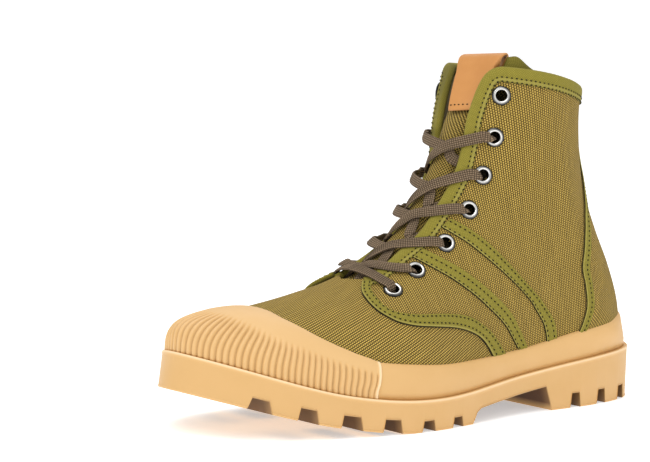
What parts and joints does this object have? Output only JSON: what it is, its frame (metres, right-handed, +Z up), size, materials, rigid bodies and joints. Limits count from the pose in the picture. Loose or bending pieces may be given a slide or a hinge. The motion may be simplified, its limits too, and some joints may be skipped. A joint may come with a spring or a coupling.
{
  "type": "canvas ankle boot",
  "caption": "Left canvas ankle boot with a lugged rubber sole, ribbed rubber toe cap and a laced front, hollow inside and standing empty on its sole.",
  "frame": {"origin": "on the floor, under the middle of the sole's box", "axes": "+X towards the toe, +Y towards the wearer's left, which is the outer side of this left boot, +Z up"},
  "size_m": [0.281, 0.101, 0.1818],
  "materials": {
    "canvas": "coarse woven cotton canvas, matt olive",
    "tape": "fine woven cotton tape, matt moss green",
    "rubber": "matt caramel rubber",
    "lining": "matt cotton lining",
    "leather": "natural tan leather, lightly waxed",
    "badge_leather": "brown leather, stitched round its edge",
    "metal": "nickel-plated, satin",
    "lace": "flat woven lace, brown-grey"
  },
  "bodies": {
    "root": {"outsole": "rubber", "foxing": "rubber", "toe_cap": "rubber", "upper": "canvas", "tongue": "canvas", "insole": "lining", "heel_counter": "canvas", "collar_binding": "tape", "tongue_tab": "leather", "ankle_badge": "badge_leather", "lace_bar": "lace", "facing_tape_lateral": "tape", "quarter_tape_lateral": "tape", "front_band_lateral": "tape", "rear_band_lateral": "tape", "eyelet_lateral_1": "metal", "eyelet_lateral_2": "metal", "eyelet_lateral_3": "metal", "eyelet_lateral_4": "metal", "eyelet_lateral_5": "metal", "eyelet_lateral_6": "metal", "eyelet_lateral_7": "metal", "facing_tape_medial": "tape", "quarter_tape_medial": "tape", "front_band_medial": "tape", "rear_band_medial": "tape", "eyelet_medial_1": "metal", "eyelet_medial_2": "metal", "eyelet_medial_3": "metal", "eyelet_medial_4": "metal", "eyelet_medial_5": "metal", "eyelet_medial_6": "metal", "eyelet_medial_7": "metal", "lace_cross_2": "lace", "lace_cross_3": "lace", "lace_cross_4": "lace", "lace_cross_5": "lace", "lace_cross_6": "lace"}
  },
  "joints": []
}
